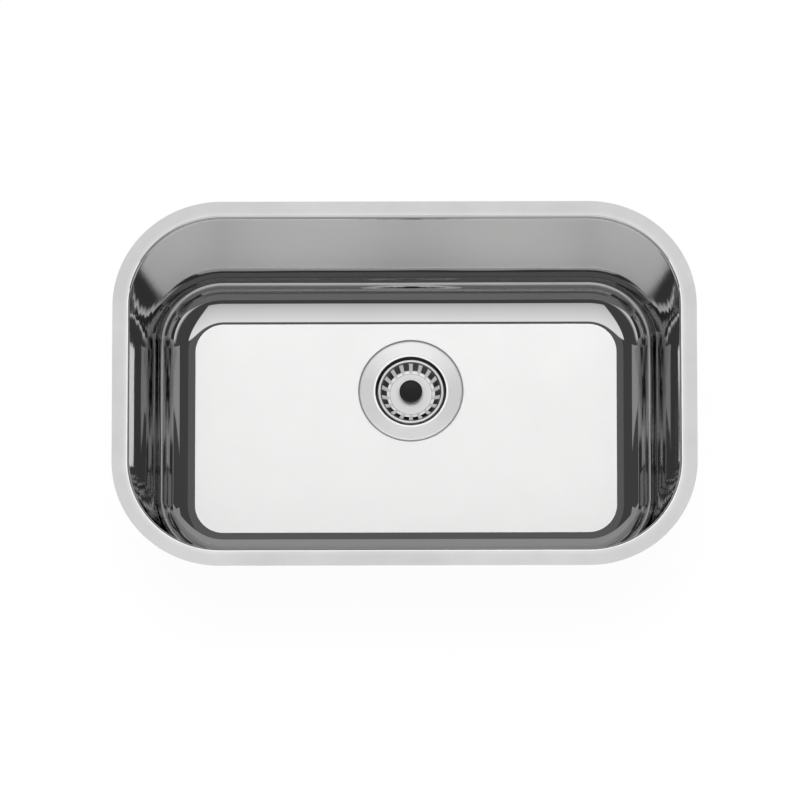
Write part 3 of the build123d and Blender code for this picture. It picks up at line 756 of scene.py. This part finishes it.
# %% Finish recipe and the bowl's finishes
TONE_RANGE = (0.3, 0.7)  # part of the pattern's range over which the tones run
LINE_SHARE = 0.7  # of drawn or turned lines in the tone, where a finish has them
DRAWN, TURNED = (1.0, 1.0, 0.008), (0.01, 0.01, 1.0)  # lines down the wall, and rings


def tones(source, dark, light):
    """A colour that runs from dark to light with its source."""
    ramp = beside(source, "ShaderNodeValToRGB")
    for stop, at, colour in zip(ramp.color_ramp.elements, TONE_RANGE, (dark, light)):
        stop.position = at
        stop.color = (*colour, 1.0)
    source.id_data.links.new(source, ramp.inputs["Fac"])
    return ramp.outputs["Color"]


def finish_of(name, dark, light, rough, metallic=1.0, grain_scale=GRAIN_SCALE, lift=2e-6, stretch=None,
              **constants):
    """A procedural finish: two tones, a range of roughness, and the height of its grain in metres."""
    material = bpy.data.materials.new(name)
    material.use_nodes = True
    tree = material.node_tree
    shader = tree.nodes["Principled BSDF"]
    shader.inputs["Metallic"].default_value = metallic
    for socket, value in constants.items():
        shader.inputs[socket.replace("_", " ")].default_value = value
    pattern = node(tree, "ShaderNodeGroup", (-900, 0), node_tree=grain)
    pattern.inputs["Grain Scale"].default_value = grain_scale
    toned_by = pattern.outputs["Mottle"]
    if stretch:
        pattern.inputs["Stretch"].default_value = stretch
        lined = node(tree, "ShaderNodeMix", (-750, 150), data_type="FLOAT")
        lined.inputs["Factor"].default_value = LINE_SHARE
        tree.links.new(toned_by, lined.inputs["A"])
        tree.links.new(pattern.outputs["Grain"], lined.inputs["B"])
        toned_by = lined.outputs["Result"]
    tree.links.new(tones(toned_by, dark, light), shader.inputs["Base Color"])
    tree.links.new(ranged(toned_by, *TONE_RANGE, *rough, kind="LINEAR"), shader.inputs["Roughness"])
    bump = node(tree, "ShaderNodeBump", (-300, -300), Strength=1.0, Distance=lift)
    tree.links.new(pattern.outputs["Grain"], bump.inputs["Height"])
    tree.links.new(bump.outputs["Normal"], shader.inputs["Normal"])
    return material


def grey(value, warm=0.0):
    """A near neutral colour, a little warmer or cooler."""
    return (value * (1 + warm), value, value * (1 - warm))


flange_satin = finish_of("flange_satin", grey(0.60), grey(0.68), (0.42, 0.48), metallic=0.4, lift=4e-6)
wall_polish = finish_of("wall_polish", grey(0.49), grey(0.51), (0.03, 0.04), lift=4e-7)
bottom_satin = finish_of("bottom_satin", grey(0.87, 0.004), grey(0.90, 0.004), (0.52, 0.56), metallic=0.3,
                         lift=6e-6)
under_mill = finish_of("under_mill", grey(0.40), grey(0.52), (0.26, 0.36), grain_scale=600.0, stretch=DRAWN)
# painted highlight: a near-white tone on the bowl's mouth bend, the cup's mouth and the foot of each basket
# slot
painted_highlight = finish_of("painted_highlight", grey(0.93), grey(0.96), (0.4, 0.5), metallic=0.3)
# painted shade: a dark grey in the gap round the drain
gap_painted_shade = finish_of("gap_painted_shade", grey(0.34), grey(0.38), (0.5, 0.6), metallic=0.3)
for zone, finish in enumerate((flange_satin, painted_highlight, wall_polish, bottom_satin, gap_painted_shade, under_mill)):
    bowl.data.materials[zone] = finish
print("Bowl finishes:", [finish.name for finish in bowl.data.materials])

# %% [markdown]
# ## Satin at a low angle
# Seen from above, the bottom's satin scatters the light and looks white. Along the surface its fine grain
# no longer shows, and it mirrors the wall across the bowl. So the bends, which look along the bottom, show
# it dark. A Layer Weight makes the satin glossier the lower it is seen.

# %% Gloss of the bottom
LOW_ANGLE = (0.45, 0.72)  # share of facing away where the gloss begins and is full
GLOSS_METALLIC, GLOSS_ROUGHNESS = 1.0, 0.12
glance = node(bottom_satin.node_tree, "ShaderNodeLayerWeight", (-900, -600), Blend=0.5)
gloss = ranged(glance.outputs["Facing"], *LOW_ANGLE)
blend_to(bottom_satin, "Metallic", gloss, GLOSS_METALLIC)
blend_to(bottom_satin, "Roughness", gloss, GLOSS_ROUGHNESS)

# %% [markdown]
# ## Painted sheen at the edge of the flange
# The flange's satin is painted lighter next to the mouth, as a painted sheen that fades out after a few
# millimetres. The distance from the mouth is worked out as for any rounded rectangle: how far a place lies
# outside the straight middle, less the corner's radius.

# %% Flange edge
SHEEN_WIDTH = 8.0 * MM
SHEEN_GAIN = 1.2
ABOVE_ALL = 1.0  # taken off the height, so that only length and width count
tree = flange_satin.node_tree
shader = tree.nodes["Principled BSDF"]
outward = node(tree, "ShaderNodeTexCoord", (-1500, 700)).outputs["Object"]
for operation, other in (("ABSOLUTE", None), ("SUBTRACT", (corner_x, corner_y, ABOVE_ALL)),
                         ("MAXIMUM", (0.0, 0.0, 0.0)), ("LENGTH", None)):
    step = beside(outward, "ShaderNodeVectorMath", operation=operation)
    tree.links.new(outward, step.inputs[0])
    if other:
        step.inputs[1].default_value = other
    outward = step.outputs["Value" if operation == "LENGTH" else "Vector"]
# painted sheen: the flange's tone is raised by a fifth at the mouth and fades out
gain = ranged(outward, MOUTH_CORNER, MOUTH_CORNER + SHEEN_WIDTH, SHEEN_GAIN, 1.0)
lighter = node(tree, "ShaderNodeVectorMath", (-300, 500), operation="SCALE")
tree.links.new(shader.inputs["Base Color"].links[0].from_socket, lighter.inputs[0])
tree.links.new(gain, lighter.inputs["Scale"])
tree.links.new(lighter.outputs["Vector"], shader.inputs["Base Color"])

# %% [markdown]
# ## The softer back wall with a painted tone, and the waves
# The upper part of the back wall is polished less than the bends, and its tone is painted lighter there as
# painted reflection, so it shows an even grey instead of clear pictures. Its tone and roughness are changed
# by place: toward the back, above the bottom bend and below the mouth bend. Drawing and polishing also leave
# faint waves along the walls, which break the reflections of the ends into streaks: a noise that is long
# round the bowl and short in height.

# %% Back wall and waves
# the back wall: a rougher finish, and a tone painted lighter as painted reflection
SOFT_PAINTED_TONE, SOFT_ROUGHNESS = 0.76, 0.6
SOFT_BACK = (0.110, 0.138)  # where the softness begins and is full: toward the back,
SOFT_FOOT = (-0.122, -0.113)  # up from the bottom bend
SOFT_HEAD = (-0.003, -0.005)  # and down from the mouth
WAVE_SCALE = (6.0, 6.0, 55.0)  # per metre
WAVE_LIFT = 1.4e-4
tree = wall_polish.node_tree
place = node(tree, "ShaderNodeTexCoord", (-1500, 500))
split = node(tree, "ShaderNodeSeparateXYZ", (-1300, 500))
tree.links.new(place.outputs["Object"], split.inputs["Vector"])
soft = ranged(split.outputs["Y"], *SOFT_BACK)
for limits in (SOFT_FOOT, SOFT_HEAD):
    soft = calc("MULTIPLY", soft, ranged(split.outputs["Z"], *limits))
# painted reflection: the back wall's tone is raised where the mask is one
blend_to(wall_polish, "Base Color", soft, (*grey(SOFT_PAINTED_TONE), 1.0))
blend_to(wall_polish, "Roughness", soft, SOFT_ROUGHNESS)

stretch = node(tree, "ShaderNodeVectorMath", (-1300, -500), operation="MULTIPLY")
stretch.inputs[1].default_value = WAVE_SCALE
waves = node(tree, "ShaderNodeTexNoise", (-1100, -500), Scale=1.0, Detail=1.0)
swell = node(tree, "ShaderNodeBump", (-600, -500), Strength=1.0, Distance=WAVE_LIFT)
tree.links.new(place.outputs["Object"], stretch.inputs[0])
tree.links.new(stretch.outputs["Vector"], waves.inputs["Vector"])
tree.links.new(waves.outputs["Fac"], swell.inputs["Height"])
grain_bump = tree.nodes["Principled BSDF"].inputs["Normal"].links[0].from_node
tree.links.new(swell.outputs["Normal"], grain_bump.inputs["Normal"])

# %% [markdown]
# ## The strainer's finishes
# Most pieces of a strainer are bought in and finished in their own ways: a turned flange, an inside
# painted dark as painted shade, pressed and satin steel, chromed tube, zinc and brass nuts, and seals of
# rubber, plastic and fibre. All come from the one recipe, and those that aren't metal have no Metallic.
# The seal under the drain flange has no show surface of its own, so its solid takes the finish.

# %% Finishes of the strainer
turned_steel = finish_of("turned_steel", grey(0.84), grey(0.88), (0.36, 0.42), metallic=0.55, Anisotropic=0.7)
# painted shade: the inside of the steel cup is a dark non-metal grey
cup_painted_shade = finish_of("cup_painted_shade", grey(0.09), grey(0.12), (0.7, 0.8), metallic=0.0, Specular_IOR_Level=0.0)
pressed_steel = finish_of("pressed_steel", grey(0.70), grey(0.76), (0.3, 0.4))
basket_satin = finish_of("basket_satin", grey(0.68), grey(0.72), (0.45, 0.55), metallic=0.3)
# painted shade: a near-black grey in the crease behind the basket's rim
crease_painted_shade = finish_of("crease_painted_shade", grey(0.08), grey(0.12), (0.5, 0.6), metallic=0.3)
# satin rim, its tone painted lighter than the basket's wall as a painted highlight
rim_satin_highlight = finish_of("rim_satin_highlight", grey(0.78), grey(0.82), (0.4, 0.5), metallic=0.4)
# painted shade: a grey ring round the basket's floor
floor_line_painted_shade = finish_of("floor_line_painted_shade", grey(0.32), grey(0.36), (0.45, 0.55), metallic=0.3)
knob_black = finish_of("knob_black", grey(0.010), grey(0.014), (0.34, 0.42), metallic=0.0, lift=6e-6,
                       Specular_IOR_Level=0.2)
rubber_black = finish_of("rubber_black", grey(0.03), grey(0.045), (0.6, 0.8), metallic=0.0, lift=1e-5)
pad_rubber = finish_of("pad_rubber", grey(0.06), grey(0.085), (0.7, 0.9), metallic=0.0, lift=3e-5)
nut_zinc = finish_of("nut_zinc", grey(0.46), grey(0.58), (0.36, 0.5), lift=8e-6)
nut_brass = finish_of("nut_brass", (0.62, 0.46, 0.18), (0.76, 0.6, 0.3), (0.28, 0.4))
tube_chrome = finish_of("tube_chrome", grey(0.52), grey(0.57), (0.08, 0.12), grain_scale=800.0, lift=5e-7,
                        stretch=TURNED)
seal_white = finish_of("seal_white", grey(0.74), grey(0.8), (0.45, 0.6), metallic=0.0, lift=8e-6)
slip_fibre = finish_of("slip_fibre", (0.42, 0.32, 0.2), (0.56, 0.45, 0.31), (0.8, 0.95), metallic=0.0,
                       lift=4e-5)
for zone, finish in enumerate((turned_steel, painted_highlight, cup_painted_shade, pressed_steel)):
    cup.data.materials[zone] = finish
for zone, finish in enumerate((basket_satin, painted_highlight, rim_satin_highlight, crease_painted_shade, floor_line_painted_shade)):
    basket.data.materials[zone] = finish
knob.data.materials.append(knob_black)
cup_thread.data.materials.append(pressed_steel)

SOLID_FINISH = {
    "sound_pad_left": pad_rubber, "sound_pad_right": pad_rubber, "flange_seal": rubber_black,
    "bowl_gasket": rubber_black, "friction_washer": slip_fibre, "lock_nut": nut_zinc,
    "outlet_neck": pressed_steel, "spider": pressed_steel, "tail_washer": seal_white,
    "coupling_nut": nut_zinc, "tailpiece": tube_chrome, "post": tube_chrome, "post_o_ring": rubber_black,
    "spacer": seal_white, "stopper": rubber_black, "stopper_washer": pressed_steel, "stopper_nut": nut_brass,
}
for name, finish in SOLID_FINISH.items():
    piece = shown.get(name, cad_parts[name])
    piece.data.materials.clear()
    piece.data.materials.append(finish)
print("Finishes given to", len(SOLID_FINISH), "hidden pieces")

# %% [markdown]
# ## Turned lines
# The drain flange is finished on a lathe, so its sheen fans out in sectors. The shader's anisotropy
# does that when it is told which way the light is spread: square to the tool's lines, along the arm
# from the drain's axis.

# %% Sheen direction on the drain flange
tree = turned_steel.node_tree
place = node(tree, "ShaderNodeTexCoord", (-900, -600))
arm = node(tree, "ShaderNodeVectorMath", (-700, -600), operation="SUBTRACT")
arm.inputs[1].default_value = DRAIN
tree.links.new(place.outputs["Object"], arm.inputs[0])
tree.links.new(arm.outputs["Vector"], tree.nodes["Principled BSDF"].inputs["Tangent"])

# %% [markdown]
# ## The studio
# Polished steel only shows what stands round it. The studio has a soft box overhead, a dark ceiling round
# it with a pale part behind, a paler wall at the back, and a bright horizon in front and beside. The sky
# is worked out from the direction that a ray leaves in, on a flat ceiling one unit up.

# %% Studio sky
SKY_CEILING = 0.09
SKY_BELT = 0.48  # paler wall behind the sink
BELT_EDGE = (0.74, 0.82)
SKY_LOW = 0.2  # near the floor
LOW_EDGE = (1.6, 2.2)
BACK_SIDES = (-0.45, 0.45, 0.1, 0.78)  # pale part of the ceiling behind the soft box
BACK_LIGHT = 0.18
BACK_SOFTNESS = 0.08
BOX_SIDES = (-0.56, 0.5, -1.19, 0.125)  # left, right, front and back edge of the soft box
BOX_LIGHT = (0.8, 1.4)  # its front and its back
BOX_SOFTNESS = 0.02
HORIZON_EDGE = (0.5, 0.35)  # height of a direction where the bright horizon begins and is full
HORIZON_LIGHT = 1.0
HORIZON_END = (0.2, 0.0)  # it ends toward the back
LEAST_RISE = 0.02  # flatter rays count as rising this much

world = bpy.data.worlds.new("studio")
bpy.context.scene.world = world
world.use_nodes = True
sky = world.node_tree
toward = node(sky, "ShaderNodeTexCoord", (-1400, 0))
split = node(sky, "ShaderNodeSeparateXYZ", (-1200, 0))
sky.links.new(toward.outputs["Generated"], split.inputs["Vector"])
upward = calc("MAXIMUM", split.outputs["Z"], LEAST_RISE)
across = calc("DIVIDE", split.outputs["X"], upward)
along = calc("DIVIDE", split.outputs["Y"], upward)


def card(low_x, high_x, low_y, high_y, soft):
    """A rectangle on the ceiling, as a mask."""
    in_x = calc("MULTIPLY", ranged(across, low_x - soft, low_x + soft),
                ranged(across, high_x + soft, high_x - soft))
    in_y = calc("MULTIPLY", ranged(along, low_y - soft, low_y + soft),
                ranged(along, high_y + soft, high_y - soft))
    return calc("MULTIPLY", in_x, in_y)


belt = ranged(along, *BELT_EDGE, SKY_CEILING, SKY_BELT)
belt = calc("MINIMUM", belt, ranged(along, *LOW_EDGE, SKY_BELT, SKY_LOW))
back = calc("MULTIPLY", card(*BACK_SIDES, BACK_SOFTNESS), BACK_LIGHT)
box_light = ranged(along, BOX_SIDES[2], BOX_SIDES[3], *BOX_LIGHT, kind="LINEAR")
box = calc("MULTIPLY", card(*BOX_SIDES, BOX_SOFTNESS), box_light)
horizon = calc("MULTIPLY", ranged(split.outputs["Z"], *HORIZON_EDGE, 0.0, HORIZON_LIGHT),
               ranged(split.outputs["Y"], *HORIZON_END))
glow = calc("MAXIMUM", calc("MAXIMUM", belt, back), calc("MAXIMUM", box, horizon))
sky.nodes["Background"].inputs["Color"].default_value = (1.0, 1.0, 1.0, 1.0)
sky.links.new(glow, sky.nodes["Background"].inputs["Strength"])
print("Sky with", len(sky.nodes), "nodes")

# %% [markdown]
# ## The overhead lamp
# Satin steel is seen by the light it scatters, polished steel only by what it mirrors. A broad lamp right
# above lights the satin faces evenly down to the bottom of the bowl. It is kept out of the mirrors, as a
# diffuser keeps the bulb out of a studio picture.

# %% Overhead lamp
LAMP_LIGHT, LAMP_SPREAD = 2.6, radians(18)
bpy.ops.object.light_add(type="SUN", location=(0, 0, 2))
lamp = bpy.context.active_object
lamp.name = "overhead_lamp"
lamp.data.energy = LAMP_LIGHT
lamp.data.angle = LAMP_SPREAD
lamp.visible_glossy = False

# %% [markdown]
# ## Side cards
# Two pale cards stand beside the back half of the sink. They are only there to be mirrored: each lights up
# the far end of the bowl, and where it stops the metal turns dark.

# %% Side cards
CARD_ASIDE = 0.6
CARD_FRONT, CARD_BACK = 0.26, 1.6
CARD_FOOT, CARD_TOP = -0.05, 0.52
CARD_LIGHT = 0.45
pale = bpy.data.materials.new("pale_card")
pale.use_nodes = True
tree = pale.node_tree
tree.nodes.remove(tree.nodes["Principled BSDF"])
shine = node(tree, "ShaderNodeEmission", (0, 0), Strength=CARD_LIGHT)
tree.links.new(shine.outputs["Emission"], tree.nodes["Material Output"].inputs["Surface"])
for side in (-1, 1):
    board = start("side_card_left" if side < 0 else "side_card_right")
    bpy.ops.transform.rotate(value=pi / 2, orient_axis="Y", center_override=(0, 0, 0))
    bpy.ops.transform.resize(value=(1, CARD_BACK - CARD_FRONT, CARD_TOP - CARD_FOOT))
    bpy.ops.transform.translate(
        value=(side * CARD_ASIDE, (CARD_FRONT + CARD_BACK) / 2, (CARD_FOOT + CARD_TOP) / 2))
    bpy.ops.object.mode_set(mode="OBJECT")
    board.data.materials.append(pale)
    board.visible_camera = board.visible_diffuse = board.visible_shadow = False

# %% [markdown]
# ## The floor
# The floor is white paper under the end of the tailpiece. Part of its white is its own, so that it
# stays white in the picture and in the metal, and the rest is lit and keeps the sink's soft shadow.

# %% Floor
FLOOR_SIZE = 60.0
FLOOR_GAP = 0.5 * MM  # below the tailpiece
PAPER_TONE = 0.9
OWN_WHITE = 0.96  # share of the white that is its own where it is seen
bpy.ops.object.select_all(action="DESELECT")
bpy.ops.mesh.primitive_plane_add(size=FLOOR_SIZE, location=(0, 0, cad_box[0][2] - FLOOR_GAP))
floor = bpy.context.active_object
floor.name = "floor"
paper = bpy.data.materials.new("white_paper")
paper.use_nodes = True
tree = paper.node_tree
matt = tree.nodes["Principled BSDF"]
matt.inputs["Base Color"].default_value = (*grey(PAPER_TONE), 1.0)
matt.inputs["Roughness"].default_value = 1.0
matt.inputs["Specular IOR Level"].default_value = 0.0
white = node(tree, "ShaderNodeEmission", (-200, 200), Strength=1.0)
rays = node(tree, "ShaderNodeLightPath", (-900, 300)).outputs
seen = calc("MAXIMUM", rays["Is Camera Ray"], rays["Is Glossy Ray"])
seen = calc("MAXIMUM", seen, rays["Is Transmission Ray"])
mix = node(tree, "ShaderNodeMixShader", (100, 200))
tree.links.new(calc("MULTIPLY", seen, OWN_WHITE), mix.inputs["Fac"])
tree.links.new(matt.outputs["BSDF"], mix.inputs[1])
tree.links.new(white.outputs["Emission"], mix.inputs[2])
tree.links.new(mix.outputs["Shader"], tree.nodes["Material Output"].inputs["Surface"])
floor.data.materials.append(paper)
